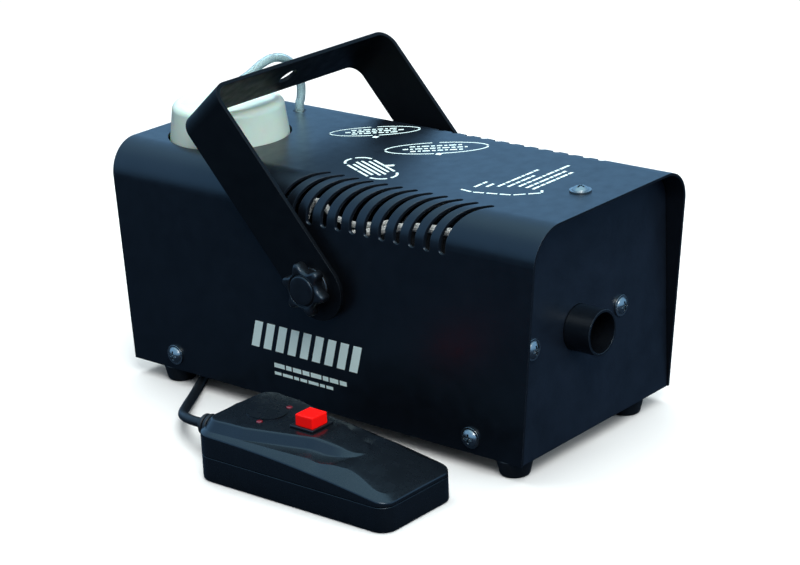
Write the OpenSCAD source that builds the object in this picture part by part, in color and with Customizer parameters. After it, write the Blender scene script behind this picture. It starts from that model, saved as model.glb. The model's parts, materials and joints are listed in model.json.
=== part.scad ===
// Small fog machine with a tilting bracket, a fluid tank and a wired hand remote.
// Millimetres, +Z up. The nozzle points along -Y, and the rear panel is at +Y.
// The modules draw about a point on the ground under the centre of the machine's base.
// at_home() then moves them, so that the origin is under the centre of the whole set.

/* [Cover] */
// Width of the cover
cover_w = 115; // [105:1:130]
// Height of the cover's sides
cover_h = 109.5; // [100:0.5:125]
// Length of the cover along its bottom edge
base_l = 239; // [230:1:260]
// How far the cover's top leans out over the front
front_rake = 11; // [0:1:15]
// How far the cover's top leans out over the rear
rear_rake = 6; // [0:1:12]
// Outer radius of the two long bends
bend_r = 16.5; // [12:0.5:20]
// Sheet thickness of the cover and the chassis
sheet_t = 1.2; // [0.8:0.1:1.6]
// Number of cooling slots on each side
slot_n = 12; // [6:1:14]
// Distance from one slot to the next
slot_pitch = 8.55; // [7:0.05:9]
// Width of a slot
slot_w = 3.9; // [2.5:0.1:4.5]
// How far a slot's lower end lies behind its upper end
slot_shift = 13.5; // [0:0.5:16]

/* [Feet] */
// Height of the rubber feet
foot_h = 8; // [6:0.5:12]
// Radius of a foot at its top
foot_r = 8.6; // [7:0.1:10]

/* [Bracket] */
// Width of the bracket strap
strap_w = 29; // [20:1:32]
// Thickness of the bracket strap
strap_t = 2; // [1.5:0.1:3]
// Gap between the cover and each bracket arm
strap_gap = 3.7; // [3:0.1:5]
// Distance from the pivot to the inner face of the crossbar
arm_l = 100; // [95:1:130]
// Tilt of the bracket at rest, back from upright
tilt = 42; // [0:1:42]
// Radius of the clamp hole in the crossbar
clamp_hole_r = 5.1; // [3.5:0.1:8]
// Outer radius of a star knob
knob_r = 12.5; // [11:0.5:14]

/* [Tank] */
// Outer radius of the fluid tank
tank_r = 29.2; // [26:0.1:29.4]
// Radius of the tank's neck
neck_r = 25.4; // [22:0.1:25.4]
// Radius of the cap at the cover's surface
cap_r = 29; // [28:0.1:29.8]
// Height of the cap's top above the cover
cap_rise = 17; // [12:0.5:17]

/* [Nozzle] */
// Outer radius of the nozzle tube
nozzle_r = 10.5; // [8:0.25:12]
// How far the nozzle tube stands out of the front panel
nozzle_l = 13.7; // [8:0.1:20]

/* [Remote] */
// Length of the hand remote
remote_l = 111.5; // [100:0.5:120]
// Half width of the remote at its cable end
remote_hw_rear = 25.2; // [22:0.1:28]
// Half width of the remote at its nose
remote_hw_nose = 23.5; // [18:0.1:24]
// Height of the remote's plateau
remote_h = 28; // [26:0.5:32]
// Radius of the remote's cable
cord_r = 2.3; // [1.8:0.1:2.6]

/* [Hidden] */
$fn = 64;
// A small overlap for cuts, and the smallest gap between two pieces that touch
eps = 1;
gap = 0.1;
top_z = foot_h + cover_h;
floor_z = foot_h + sheet_t;
side_x = cover_w / 2;
front_y = -base_l / 2 + 0.5;
rear_y = base_l / 2 - 0.5;
tray_w = cover_w - 2 * sheet_t - 0.6;
// The front and rear panels follow the inside of the cover with this clearance
panel_drop = sheet_t + 0.3;
// Slots: the row on the far side starts nearer the bend
slot_y = -92.7;
slot_xs = [43, 37];
slot_z = 98.6;
slot_slant = atan(slot_shift / (side_x - slot_xs[1]));
// Screws
screw_r = 1.9;
screw_hole_r = 2;
side_screw_z = 15.6;
side_screw_ys = [-91.8, 90.7];
top_screw_y = -112;
nozzle_x = -13.9;
nozzle_z = 59.6;
front_screw_dx = 33.2;
// Feet: the pair under the near side is further out than the other pair
foot_xs = [-49.2, 36];
foot_ys = [-109.5, 96];
// Bracket and knobs
pivot_y = -8;
pivot_z = 72;
arm_in_x = side_x + strap_gap;
arm_out_x = arm_in_x + strap_t;
stud_r = 2.95;
washer_x = arm_out_x + gap / 2;
knob_x = washer_x + 1.05;
knob_h = 7.2;
// Tank and hose
tank_x = -13.3;
tank_y = 87.2;
cap_top_z = top_z + cap_rise;
neck_top_z = cap_top_z - 4.5;
hose_x = 34;
hose_y = 84.3;
hose_r = 2.2;
// Heater
block_w = 40;
block_h = 44;
block_front_y = -102;
block_rear_y = -22;
element_z = nozzle_z + 11;
inlet_z = nozzle_z - 7.6;
// Pump
plunger_r = 5;
body_r = 7;
coil_z = 46;
coil_h = 24;
spring_z = 34.2;
plunger_z = 50;
// Rear panel
fittings_x = 36;
inlet_y = 103;
power_z = 84;
rocker_z = 52;
socket_z = 26;
rocker_tilt = 8;
// Remote
remote_x = -108.5;
remote_rear_y = 7;
remote_nose_y = remote_rear_y - remote_l;
seam_z = 6.5;
wall = 2;
button_y = -44;
button_w = 10;
light_y = -22;
light_dx = 9.8;
relief_z = 13;
// The cable's loop stands this far behind the rear panel
loop_l = 35.1;
home_x = -(remote_x - remote_hw_rear + knob_x + knob_h + 0.6) / 2;
home_y = -(front_y - nozzle_l + rear_y + loop_l) / 2;

// Shared shapes

module at_home() {
    translate([home_x, home_y, 0]) children();
}

function unit(v) = v / norm(v);

// Point t of the way along span i of a smooth curve through the points p
function curve_point(p, i, t) =
    let (a = p[max(i - 1, 0)], b = p[i], c = p[i + 1], d = p[min(i + 2, len(p) - 1)])
    0.5 * (2 * b + (c - a) * t + (2 * a - 5 * b + 4 * c - d) * t * t + (3 * b - a - 3 * c + d) * t * t * t);

function curve(p, n) = concat([for (i = [0:len(p) - 2], k = [0:n - 1]) curve_point(p, i, k / n)],
    [p[len(p) - 1]]);

// Round bar along a path; side is a direction the path never runs along
module bar_along(path, r, side, sides = 12) {
    n = len(path);
    rings = [for (i = [0:n - 1])
        let (ahead = path[min(i + 1, n - 1)] - path[max(i - 1, 0)])
        let (t = unit(ahead))
        let (u = unit(cross(side, t)))
        let (v = cross(t, u))
        for (k = [0:sides - 1]) path[i] + r * (cos(360 * k / sides) * u + sin(360 * k / sides) * v)];
    walls = [for (i = [0:n - 2], k = [0:sides - 1])
        let (a = i * sides + k, b = i * sides + (k + 1) % sides)
        for (f = [[a, b + sides, b], [a, a + sides, b + sides]]) f];
    start = [[for (k = [0:sides - 1]) k]];
    end = [[for (k = [0:sides - 1]) n * sides - 1 - k]];
    polyhedron(rings, concat(walls, start, end));
}

// Flat sheet outline with two rounded upper corners, standing on y = -drop
module arch(w, h, r, drop = 0) {
    translate([-w / 2, -drop]) square([w, h - r + drop]);
    translate([-w / 2 + r, 0]) square([w - 2 * r, h]);
    for (s = [-1, 1]) translate([s * (w / 2 - r), h - r]) circle(r);
}

// An arch that runs from y = y0 to y = y1, standing at height z
module arch_wall(w, h, r, y0, y1, z, drop = 0) {
    translate([0, y1, z]) rotate([90, 0, 0]) linear_extrude(y1 - y0) arch(w, h, r, drop);
}

module rounded_rect(w, d, r) {
    square([w - 2 * r, d], center = true);
    square([w, d - 2 * r], center = true);
    for (x = [-1, 1], y = [-1, 1]) translate([x * (w / 2 - r), y * (d / 2 - r)]) circle(r);
}

module box(low, high) {
    translate(low) cube(high - low);
}

// Cylinders that point along X and along Y, from a to b
module rod_x(a, b, y, z, r) {
    translate([a, y, z]) rotate([0, 90, 0]) cylinder(h = b - a, r = r);
}

module rod_y(a, b, x, z, r) {
    translate([x, a, z]) rotate([-90, 0, 0]) cylinder(h = b - a, r = r);
}

// Washer-head screw with a cross recess: the seat is at z = 0 and the head points along +Z
module washer_screw(shank) {
    difference() {
        union() {
            cylinder(h = 0.9, r = 5);
            intersection() {
                translate([0, 0, -2.6]) sphere(r = 5.4);
                cylinder(h = 4, r = 3.9);
            }
        }
        for (a = [0, 90]) rotate([0, 0, a]) translate([-2.2, -0.45, 1.5]) cube([4.4, 0.9, 3]);
    }
    translate([0, 0, -shank]) cylinder(h = shank, r = screw_r);
}

// Housing

module cover() color("#16181d") at_home() difference() {
    intersection() {
        arch_wall(cover_w, cover_h, bend_r, -base_l, base_l, foot_h);
        rotate([90, 0, 90]) linear_extrude(cover_w + 2, center = true) polygon([
            [-base_l / 2, foot_h], [base_l / 2, foot_h],
            [base_l / 2 + rear_rake, top_z], [-base_l / 2 - front_rake, top_z]]);
    }
    arch_wall(cover_w - 2 * sheet_t, cover_h - sheet_t, bend_r - sheet_t, -base_l, base_l, foot_h, eps);
    for (s = [0, 1], i = [0:slot_n - 1]) mirror([s, 0, 0])
        translate([slot_xs[s], slot_y + i * slot_pitch, 0]) slot(side_x - slot_xs[s]);
    translate([tank_x, tank_y, top_z - 8]) cylinder(h = 20, r = cap_r + 1.1);
    translate([hose_x, hose_y, top_z - 4]) cylinder(h = 8, r = 3.4);
    translate([0, top_screw_y, top_z - 4]) cylinder(h = 8, r = screw_hole_r);
    for (y = side_screw_ys) rod_x(-side_x - 3, side_x + 3, y, side_screw_z, screw_hole_r);
    rod_x(-side_x - 3, side_x + 3, pivot_y, pivot_z, 4.5);
}

// One cooling slot over the bend, slanted in plan; width is its extent along X. Its upper end is
// a touch wider than its sides, so that their walls cross instead of just touching.
module slot(width) rotate([0, 0, slot_slant]) {
    r = slot_w / 2 * cos(slot_slant);
    reach = width / cos(slot_slant);
    box([r, -r, slot_z + r], [reach + 2, r, top_z + eps]);
    translate([r, 0, top_z - 4]) cylinder(h = 8, r = r + 0.03);
    rod_x(reach - 6, reach + 4, 0, slot_z + r, r);
}

module chassis() color("#1b1e24") at_home() difference() {
    panel_h = cover_h - panel_drop;
    panel_r = bend_r - panel_drop;
    union() {
        box([-tray_w / 2, front_y, foot_h], [tray_w / 2, rear_y, floor_z]);
        arch_wall(tray_w, panel_h, panel_r, front_y, front_y + sheet_t, foot_h);
        arch_wall(tray_w, panel_h, panel_r, rear_y - sheet_t, rear_y, foot_h);
        for (s = [0, 1]) mirror([s, 0, 0])
            box([tray_w / 2 - sheet_t, front_y, foot_h], [tray_w / 2, rear_y, foot_h + 14]);
        box([-20, front_y, foot_h + panel_h - sheet_t], [20, front_y + 15, foot_h + panel_h]);
    }
    rod_y(front_y - eps, front_y + 4, nozzle_x, nozzle_z, nozzle_r + gap);
    for (s = [-1, 1])
        rod_y(front_y - eps, front_y + 4, nozzle_x + s * front_screw_dx, nozzle_z, screw_hole_r);
    for (y = side_screw_ys) rod_x(-side_x, side_x, y, side_screw_z, screw_hole_r);
    translate([0, top_screw_y, top_z - 8]) cylinder(h = 10, r = screw_hole_r);
    for (x = foot_xs, y = foot_ys) translate([x, y, 0]) cylinder(h = 20, r = screw_hole_r);
    for (x = [-30, 30]) translate([x, 44, 0]) cylinder(h = 20, r = screw_hole_r);
    box([fittings_x - 13.7, rear_y - 4, power_z - 15.2], [fittings_x + 13.7, rear_y + eps, power_z + 15.2]);
    box([fittings_x - 6.7, rear_y - 4, rocker_z - 9.7], [fittings_x + 6.7, rear_y + eps, rocker_z + 9.7]);
    rod_y(rear_y - 4, rear_y + eps, fittings_x, socket_z, 7.6);
}

// Sheet wall that keeps the tank in the rear of the housing
module bulkhead() color("#8d9196") at_home() difference() {
    union() {
        arch_wall(109, 102, 14, 50, 50 + sheet_t, floor_z + gap);
        box([-54, 38, floor_z + gap], [54, 50 + eps, floor_z + gap + sheet_t]);
    }
    rod_y(48, 53, hose_x, 15, 4);
    rod_y(48, 53, 22.5, 14, 3);
    rod_y(48, 53, 46, 98, 5);
    for (x = [-30, 30]) translate([x, 44, 0]) cylinder(h = 20, r = screw_hole_r);
}

module case_screws() color("silver") at_home() {
    for (s = [0, 1], y = side_screw_ys) mirror([s, 0, 0])
        translate([side_x, y, side_screw_z]) rotate([0, 90, 0]) washer_screw(6);
    for (s = [-1, 1]) translate([nozzle_x + s * front_screw_dx, front_y, nozzle_z])
        rotate([90, 0, 0]) washer_screw(6);
    translate([0, top_screw_y, top_z]) washer_screw(7);
}

module rubber_feet() color("#101114") at_home() for (x = foot_xs, y = foot_ys) translate([x, y, 0])
    rubber_foot();

// One foot: a cone with a rounded lower edge and a recess for its screw
module rubber_foot() difference() {
    rotate_extrude() polygon(concat([[0, 0]],
        [for (a = [-90:15:0]) [foot_r - 3.1 + 1.5 * cos(a), 1.5 + 1.5 * sin(a)]],
        [[foot_r, foot_h], [0, foot_h]]));
    translate([0, 0, -eps]) cylinder(h = 4 + eps, r = 3.9);
    cylinder(h = foot_h + eps, r = screw_hole_r);
}

module foot_screws() color("silver") at_home() {
    for (x = foot_xs, y = foot_ys) translate([x, y, 4]) rotate([180, 0, 0]) {
        cylinder(h = 1.8, r = 3.6);
        translate([0, 0, -9]) cylinder(h = 9 + eps, r = screw_r);
    }
    for (x = [-30, 30]) translate([x, 44, floor_z + gap + sheet_t]) {
        cylinder(h = 1.8, r = 3.6);
        translate([0, 0, -5]) cylinder(h = 5 + eps, r = screw_r);
    }
}

// Bracket and its clamps

module bracket() color("#121317") at_home() translate([0, pivot_y, pivot_z]) rotate([-tilt, 0, 0])
    upright_bracket();

// The bracket standing straight up over its pivot at the origin
module upright_bracket() difference() {
    bottom = strap_w / 2 + 2.5;
    bend = 9;
    intersection() {
        translate([0, strap_w / 2, 0]) rotate([90, 0, 0]) linear_extrude(strap_w) difference() {
            arch(2 * arm_out_x, arm_l + strap_t, bend, bottom);
            arch(2 * arm_in_x, arm_l, bend - strap_t, bottom + eps);
        }
        union() {
            box([-arm_out_x - eps, -strap_w / 2, -2.5], [arm_out_x + eps, strap_w / 2, arm_l + 10]);
            rod_x(-arm_out_x - eps, arm_out_x + eps, 0, -2.5, strap_w / 2);
        }
    }
    rod_x(-arm_out_x - eps, arm_out_x + eps, 0, 0, 3.3);
    translate([0, 0, arm_l - eps]) cylinder(h = strap_t + 2 * eps, r = clamp_hole_r);
}

// Star knob: its seat is at x = 0 and its face points along +X
module star_knob() color("#0e0f12") rotate([0, 90, 0]) difference() {
    union() {
        cylinder(h = 1.4, r = 8);
        translate([0, 0, 1.2]) linear_extrude(knob_h - 1.2) difference() {
            circle(knob_r);
            for (a = [0:60:300]) rotate(a + 12) translate([knob_r + 2, 0]) circle(5.5);
        }
        cylinder(h = knob_h + 0.6, r = 7.2);
    }
    translate([0, 0, -eps]) cylinder(h = 6, r = stud_r + 0.05);
}

module left_knob() at_home() mirror([1, 0, 0]) translate([knob_x, pivot_y, pivot_z]) star_knob();
module right_knob() at_home() translate([knob_x, pivot_y, pivot_z]) star_knob();

module stud() color("#b8bcc2") rod_x(50, knob_x + 4.9, pivot_y, pivot_z, stud_r);
module left_stud() at_home() mirror([1, 0, 0]) stud();
module right_stud() at_home() stud();

module clamp_washer() color("#3a3d42") difference() {
    rod_x(washer_x, washer_x + 1, pivot_y, pivot_z, 8.6);
    rod_x(washer_x - eps, washer_x + 2, pivot_y, pivot_z, 3.2);
}
module left_clamp_washer() at_home() mirror([1, 0, 0]) clamp_washer();
module right_clamp_washer() at_home() clamp_washer();

module spacer_washers() color("#101114") at_home() for (s = [0, 1]) mirror([s, 0, 0]) difference() {
    rod_x(side_x + 1.1, arm_in_x - gap, pivot_y, pivot_z, 9);
    rod_x(side_x, arm_in_x + eps, pivot_y, pivot_z, 3.3);
}

module rivet_nuts() color("#c9a24a") at_home() for (s = [0, 1]) mirror([s, 0, 0]) difference() {
    union() {
        rod_x(side_x, side_x + 1, pivot_y, pivot_z, 6);
        rod_x(48, side_x + 0.5, pivot_y, pivot_z, 4.4);
    }
    rod_x(47, side_x + 3, pivot_y, pivot_z, stud_r + 0.05);
}

// Tank and its hose

module tank() color("#e8ebe8") at_home() translate([tank_x, tank_y, 0]) rotate_extrude() polygon([
    [0, floor_z + gap], [tank_r, floor_z + gap], [tank_r, 98], [neck_r, 107], [neck_r, 119],
    [neck_r + 0.6, 119.6], [neck_r + 0.6, 121], [neck_r, 121.6], [neck_r, neck_top_z],
    [neck_r - 1.6, neck_top_z], [neck_r - 1.6, 106.4], [tank_r - 1.6, 97.2],
    [tank_r - 1.6, floor_z + 1.8], [0, floor_z + 1.8]]);

module tank_cap() color("#f2f5f2") at_home() translate([tank_x, tank_y, 0]) rotate_extrude() polygon(concat(
    [[neck_r + 0.8, top_z - 3], [cap_r + 0.1, top_z - 3], [cap_r, top_z]],
    [for (a = [0:15:90]) [cap_r - 4.7 + 3 * cos(a), cap_top_z - 3 + 3 * sin(a)]],
    [[2.4, cap_top_z], [2.4, neck_top_z + 2.1], [neck_r + 0.8, neck_top_z + 2.1]]));

module cap_seal() color("#c9ccc6") at_home() translate([tank_x, tank_y, neck_top_z + gap]) difference() {
    cylinder(h = 1.9, r = neck_r);
    translate([0, 0, -eps]) cylinder(h = 5, r = neck_r - 7);
}

module suction_hose() color("#dfe8e6") at_home() bar_along(concat([[tank_x, tank_y, 20]],
    curve([[tank_x, tank_y, cap_top_z + 1.5], [-12.3, tank_y, 138.6], [-9, 87.1, 140.3], [-4, 87, 141.2],
        [3, 86.8, 143.2], [11, 86.5, 146.4], [19, 86.1, 147.6], [27, 85.5, 145.4], [34.2, 84.8, 138.5],
        [36.2, 84.5, 130.5], [35.4, hose_y, 123.8], [hose_x, hose_y, top_z + 0.7]], 5),
    [[hose_x, hose_y, 88.2]]), hose_r, [0, 1, 0]);

module pickup_filter() color("#b98a3c") at_home() translate([tank_x, tank_y, floor_z + 2]) difference() {
    cylinder(h = 12, r = 5);
    translate([0, 0, 8.5]) cylinder(h = 5, r = hose_r + gap);
}

module hose_grommet() color("#101114") at_home() translate([hose_x, hose_y, top_z - sheet_t - 1.1])
    rotate_extrude() polygon([[hose_r + gap, 0], [5.8, 0], [5.8, 1], [3.3, 1], [3.3, sheet_t + 1],
        [hose_r + gap, sheet_t + 1]]);

// Pump: the hose enters at the top and the heater is fed from the bottom

module pump_body() color("#d8d6cc") at_home() translate([hose_x, hose_y, 0]) difference() {
    union() {
        translate([0, 0, 18]) cylinder(h = 13, r = 4.5);
        translate([0, 0, 30]) cylinder(h = 54, r = body_r);
        translate([0, 0, 83]) cylinder(h = 13, r = 4.5);
    }
    translate([0, 0, 34]) cylinder(h = 46, r = plunger_r + 0.05);
    translate([0, 0, 17]) cylinder(h = 7, r = hose_r + gap);
    translate([0, 0, 88]) cylinder(h = 9, r = hose_r + gap);
    translate([0, 0, 20]) cylinder(h = 70, r = 1.2);
}

module pump_coil() color("#26282c") at_home() translate([hose_x, hose_y, coil_z]) difference() {
    linear_extrude(coil_h) rounded_rect(26, 26, 4);
    translate([0, 0, -eps]) cylinder(h = coil_h + 2 * eps, r = body_r + gap);
}

module pump_yoke() color("#9a9fa6") at_home() translate([hose_x, hose_y, 0]) difference() {
    union() {
        for (z = [coil_z - 2.1, coil_z + coil_h + gap]) box([-14, -14, z], [15.2, 14, z + 2]);
        box([13.2, -14, coil_z - 2.1], [15.2, 14, coil_z + coil_h + 2 + gap]);
    }
    translate([0, 0, coil_z - 5]) cylinder(h = coil_h + 10, r = body_r + gap);
}

module pump_plunger() color("#c3c7cc") at_home() translate([hose_x, hose_y, plunger_z]) difference() {
    cylinder(h = 22, r = plunger_r);
    translate([0, 0, 18]) cylinder(h = 5, r = 1.5);
}

module pump_spring() color("#d0d3d8") at_home() {
    turns = 5;
    steps = 14;
    rise = plunger_z - spring_z - 1.2;
    coil = [for (i = [0:turns * steps]) [3.6 * cos(360 * i / steps), 3.6 * sin(360 * i / steps),
        rise * i / (turns * steps)]];
    translate([hose_x, hose_y, spring_z + 0.5]) bar_along(coil, 0.45, [0, 0, 1], 6);
}

module pump_mount() color("#8d9196") at_home() {
    box([hose_x + 15.3, 74, floor_z + gap], [hose_x + 16.8, 94, 66]);
    box([hose_x + 7, 74, floor_z + gap], [hose_x + 16, 94, floor_z + gap + 1.5]);
}

module delivery_hose() color("#dfe8e6") at_home() bar_along(concat([[hose_x, hose_y, 23.8]],
    curve([[hose_x, hose_y, 16.9], [hose_x, 82, 13.4], [hose_x, 76, 12.2], [hose_x, 60, 13.5],
        [hose_x, 50, 15], [33, 38, 17], [27, 15, 25], [8, 0, 42], [-8, -2, 50],
        [-12.8, -5.5, 51.8], [nozzle_x, -10.3, inlet_z]], 5),
    [[nozzle_x, -19.5, inlet_z]]), hose_r, [0.45, 0.1, 1]);

// Heater

module heater_block() color("#b9bcc0") at_home() difference() {
    union() {
        translate([nozzle_x, block_rear_y, nozzle_z]) rotate([90, 0, 0])
            linear_extrude(block_rear_y - block_front_y) rounded_rect(block_w, block_h, 3);
        rod_y(block_rear_y - eps, -11, nozzle_x, inlet_z, 3.6);
    }
    rod_y(-91.5, block_rear_y + eps, nozzle_x, element_z, 5);
    rod_y(-20, -10, nozzle_x, inlet_z, hose_r + gap);
    rod_y(-91, -19, nozzle_x, inlet_z, 1.2);
    translate([nozzle_x, -90.8, inlet_z]) cylinder(h = nozzle_z - inlet_z, r = 1);
    rod_y(block_front_y - eps, -88, nozzle_x, nozzle_z, 4);
}

module heater_element() color("#c8ccd0") at_home() {
    rod_y(-91, -19, nozzle_x, element_z, 4.95);
    for (s = [-1, 1]) rod_y(-19 - eps, -16, nozzle_x + s * 2, element_z, 1);
}

module nozzle_jet() color("#c79a3e") at_home() difference() {
    union() {
        rod_y(block_front_y, -93, nozzle_x, nozzle_z, 3.95);
        translate([nozzle_x, block_front_y - gap, nozzle_z]) rotate([90, 0, 0]) {
            translate([0, 0, -eps]) cylinder(h = eps, r = 3.95);
            cylinder(h = 6, r = 7, $fn = 6);
            translate([0, 0, 5]) cylinder(h = 9, r = 4.6);
            translate([0, 0, 14]) cylinder(h = 5, r1 = 4.6, r2 = 2.2);
        }
    }
    rod_y(-125, -90, nozzle_x, nozzle_z, 0.8);
}

module nozzle_tube() color("#0d0e11") at_home() difference() {
    union() {
        rod_y(front_y - nozzle_l, front_y - 0.3, nozzle_x, nozzle_z, nozzle_r);
        rod_y(front_y - 1, -114, nozzle_x, nozzle_z, nozzle_r - 0.3);
        rod_y(-116, -114.8, nozzle_x, nozzle_z, nozzle_r + 3.5);
    }
    rod_y(front_y - nozzle_l - eps, -113, nozzle_x, nozzle_z, nozzle_r - 1.2);
}

module insulation() color("#dedcd2") at_home() translate([nozzle_x, -26, nozzle_z]) rotate([90, 0, 0])
    linear_extrude(70) difference() {
        rounded_rect(62, 64, 9);
        rounded_rect(44.2, 44.6, 2);
    }

module heater_carrier() color("#8d9196") at_home() difference() {
    union() {
        box([nozzle_x - 38, front_y + sheet_t + gap, 46], [nozzle_x + 38, -116.1, 73]);
        for (s = [0, 1]) translate([nozzle_x, 0, 0]) mirror([s, 0, 0])
            box([block_w / 2 + gap, -117, 50], [block_w / 2 + 1.6, -62, 69]);
    }
    rod_y(front_y, -115, nozzle_x, nozzle_z, nozzle_r + gap);
    for (s = [-1, 1]) rod_y(front_y, -115, nozzle_x + s * front_screw_dx, nozzle_z, screw_hole_r);
}

module heater_saddle() color("#8d9196") at_home() {
    top = nozzle_z - 32 - gap;
    box([nozzle_x - 16, -50, floor_z + gap], [nozzle_x + 16, -36, floor_z + gap + sheet_t]);
    box([nozzle_x - 16, -50, floor_z + gap], [nozzle_x + 16, -50 + sheet_t, top]);
    box([nozzle_x - 16, -64, top - sheet_t], [nozzle_x + 16, -50 + sheet_t, top]);
}

module thermostat() color("#c6b48c") at_home() translate([nozzle_x + 12, 0, 0]) {
    rod_y(block_rear_y + gap, -17, 0, 62, 6.5);
    for (x = [-4, 4]) box([x - 0.4, -17 - eps, 60], [x + 0.4, -8, 64]);
}

module thermal_fuse() color("#d9d3c4") at_home()
    rod_x(nozzle_x - 16, nozzle_x - 7, block_rear_y + 2.2, 60, 2);

// Wiring

module heater_leads() color("#f1f1ee") at_home() {
    bar_along(concat([[-46, 22, 21.4]],
        curve([[-46, 22, 24], [-47.5, 20, 45], [-48.5, 14, 80], [-47, 6, 103], [-45, 0.4, 105],
            [-45, -4.6, 100.4], [-44.6, -11.4, 98.2], [-44.4, -20, 97.9], [-44, -29.5, 99.4],
            [-38, -35, 100], [-28, -29, 97], [-19, -17, 88], [-15.9, -9, 77],
            [-15.9, -11, 71.4], [-15.9, -14, element_z]], 4),
        [[-15.9, -15.8, element_z]]), 1.5, [0.5, 0.1, 0.3], 10);
    bar_along(concat([[-46, 14, 21.4]],
        curve([[-46, 14, 24], [-50, 12, 40], [-51.5, 4, 75], [-50.5, -14, 92], [-48.5, -36, 99],
            [-47.5, -50, 103], [-47, -62, 104.6], [-46.5, -78, 105], [-40, -87, 103.5],
            [-26, -88, 99], [-10, -84, 97], [6, -62, 97], [6, -32, 98], [0, -12, 86],
            [-5.9, -9, 72]], 4),
        [[-5.9, -9, 64.6]]), 2, [0.35, 0.2, 0.3], 10);
}

module wiring_harness() color("#2a2c30") at_home() {
    bar_along(concat([[42, inlet_y - gap, 90]],
        curve([[42, 100, 90], [44.4, 94, 94], [44.4, 85, 98], [44.4, 60, 98], [44.4, 45, 98],
            [40, 36, 99], [10, 33, 99], [-28, 31, 88], [-45, 27, 55], [-49, 25, 30]], 4),
        [[-49, 25, 21.4]]), 1.5, [0.2, 0.05, 0.3], 8);
    bar_along(concat([[44, 71.2, 66]],
        curve([[44, 69, 66], [46.6, 66, 72], [48.2, 62, 84], [48.2, 57, 95], [48.2, 46, 98],
            [44, 39, 101.6], [12, 37, 102], [-28, 35, 92], [-42, 30, 55], [-43, 27, 30]], 4),
        [[-43, 27, 21.4]]), 1.3, [0.2, 0.05, 0.3], 8);
    bar_along(concat([[40, 104.9, rocker_z]],
        curve([[40, 102.4, rocker_z], [40, 99.6, 56], [40, 99.6, 68], [40, 101, 73]], 4),
        [[40, inlet_y - gap, 73]]), 1.2, [1, 0, 0], 8);
    bar_along(concat([[fittings_x, 105.9, socket_z]],
        curve([[fittings_x, 104, socket_z], [30, 101, 21], [24, 95, 15.5], [22.5, 80, 13.6],
            [22.5, 51, 14], [19, 36, 13.4], [2, 27, 13], [-25, 19, 13], [-37, 16, 14]], 4),
        [[-39.9, 16, 14]]), 1.3, [0.1, 0.2, 1], 8);
}

module terminal_block() color("#e4e2da") at_home() difference() {
    box([-52, -6, floor_z + gap], [-40, 30, 21.2]);
    for (y = [-2, 6]) translate([-46, y, 15]) cylinder(h = 10, r = 1.8);
}

module power_inlet() color("#121317") at_home() translate([fittings_x, 0, power_z]) difference() {
    union() {
        box([-13.5, inlet_y, -15], [13.5, rear_y + 1, 15]);
        box([-15.5, rear_y + 0.05, -17], [15.5, rear_y + 2.2, 17]);
    }
    box([-12, inlet_y + 1.5, -13.5], [12, rear_y + 4, 2.5]);
    box([-12.2, inlet_y + 1.5, 4.2], [12.2, rear_y + 4, 12]);
}

module inlet_pins() color("#c8ccd0") at_home() for (x = [-7, 0, 7])
    box([fittings_x + x - 1, inlet_y + 1.6, power_z - 7.5 + (x == 0 ? 3 : 0)],
        [fittings_x + x + 1, rear_y - 1, power_z - 3.5 + (x == 0 ? 3 : 0)]);

module fuse_drawer() color("#1c1e22") at_home() translate([fittings_x, 0, power_z]) difference() {
    union() {
        box([-12, inlet_y + 2, 4.5], [12, rear_y + 3, 11.7]);
        box([-13, rear_y + 2.3, 4], [13, rear_y + 3.6, 12.2]);
    }
    box([-10.2, inlet_y + 4, 5.4], [10.2, inlet_y + 9.4, 13]);
}

module fuse() color("#d8dcd8") at_home()
    rod_x(fittings_x - 10, fittings_x + 10, inlet_y + 6.7, power_z + 8.2, 2.5);

module switch_body() color("#16181c") at_home() translate([fittings_x, 0, rocker_z]) difference() {
    union() {
        box([-6.5, 105, -9.5], [6.5, rear_y + 1, 9.5]);
        box([-7.5, rear_y + 0.05, -10.5], [7.5, rear_y + 1.6, 10.5]);
    }
    box([-5.6, rear_y - 8, -8.6], [5.6, rear_y + 4, 8.6]);
    rod_x(-7, 7, rear_y - 1.5, 0, 1.05);
}

module switch_rocker() color("#b3161b") at_home()
    translate([fittings_x, rear_y - 1.5, rocker_z]) rotate([rocker_tilt, 0, 0]) {
        difference() {
            box([-5.3, -4, -7.9], [5.3, 4.6, 7.9]);
            rod_x(-6, 6, 28, 0, 24.6);
            for (s = [-1, 1])
                translate([0, -4, s * 7.9]) rotate([s * 30, 0, 0]) cube([12, 5, 4], center = true);
        }
        rod_x(-6.3, 6.3, 0, 0, 1);
    }

// Socket and plug of the remote

module remote_socket() color("#9a9fa6") at_home() difference() {
    union() {
        rod_y(106, rear_y + 1, fittings_x, socket_z, 7.5);
        rod_y(rear_y + 0.05, rear_y + 2, fittings_x, socket_z, 10);
    }
    rod_y(110, rear_y + 4, fittings_x, socket_z, 5.6);
}

module remote_plug() color("#17181c") at_home() {
    rod_y(112, rear_y + 3, fittings_x, socket_z, 5.4);
    rod_y(rear_y + 2.2, rear_y + 14, fittings_x, socket_z, 7.6);
    for (i = [0:2]) rod_y(rear_y + 15.5 + i * 3, rear_y + 17.3 + i * 3, fittings_x, socket_z, 5 - i * 0.6);
    rod_y(rear_y + 13, rear_y + 23, fittings_x, socket_z, 3.2);
}

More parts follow.
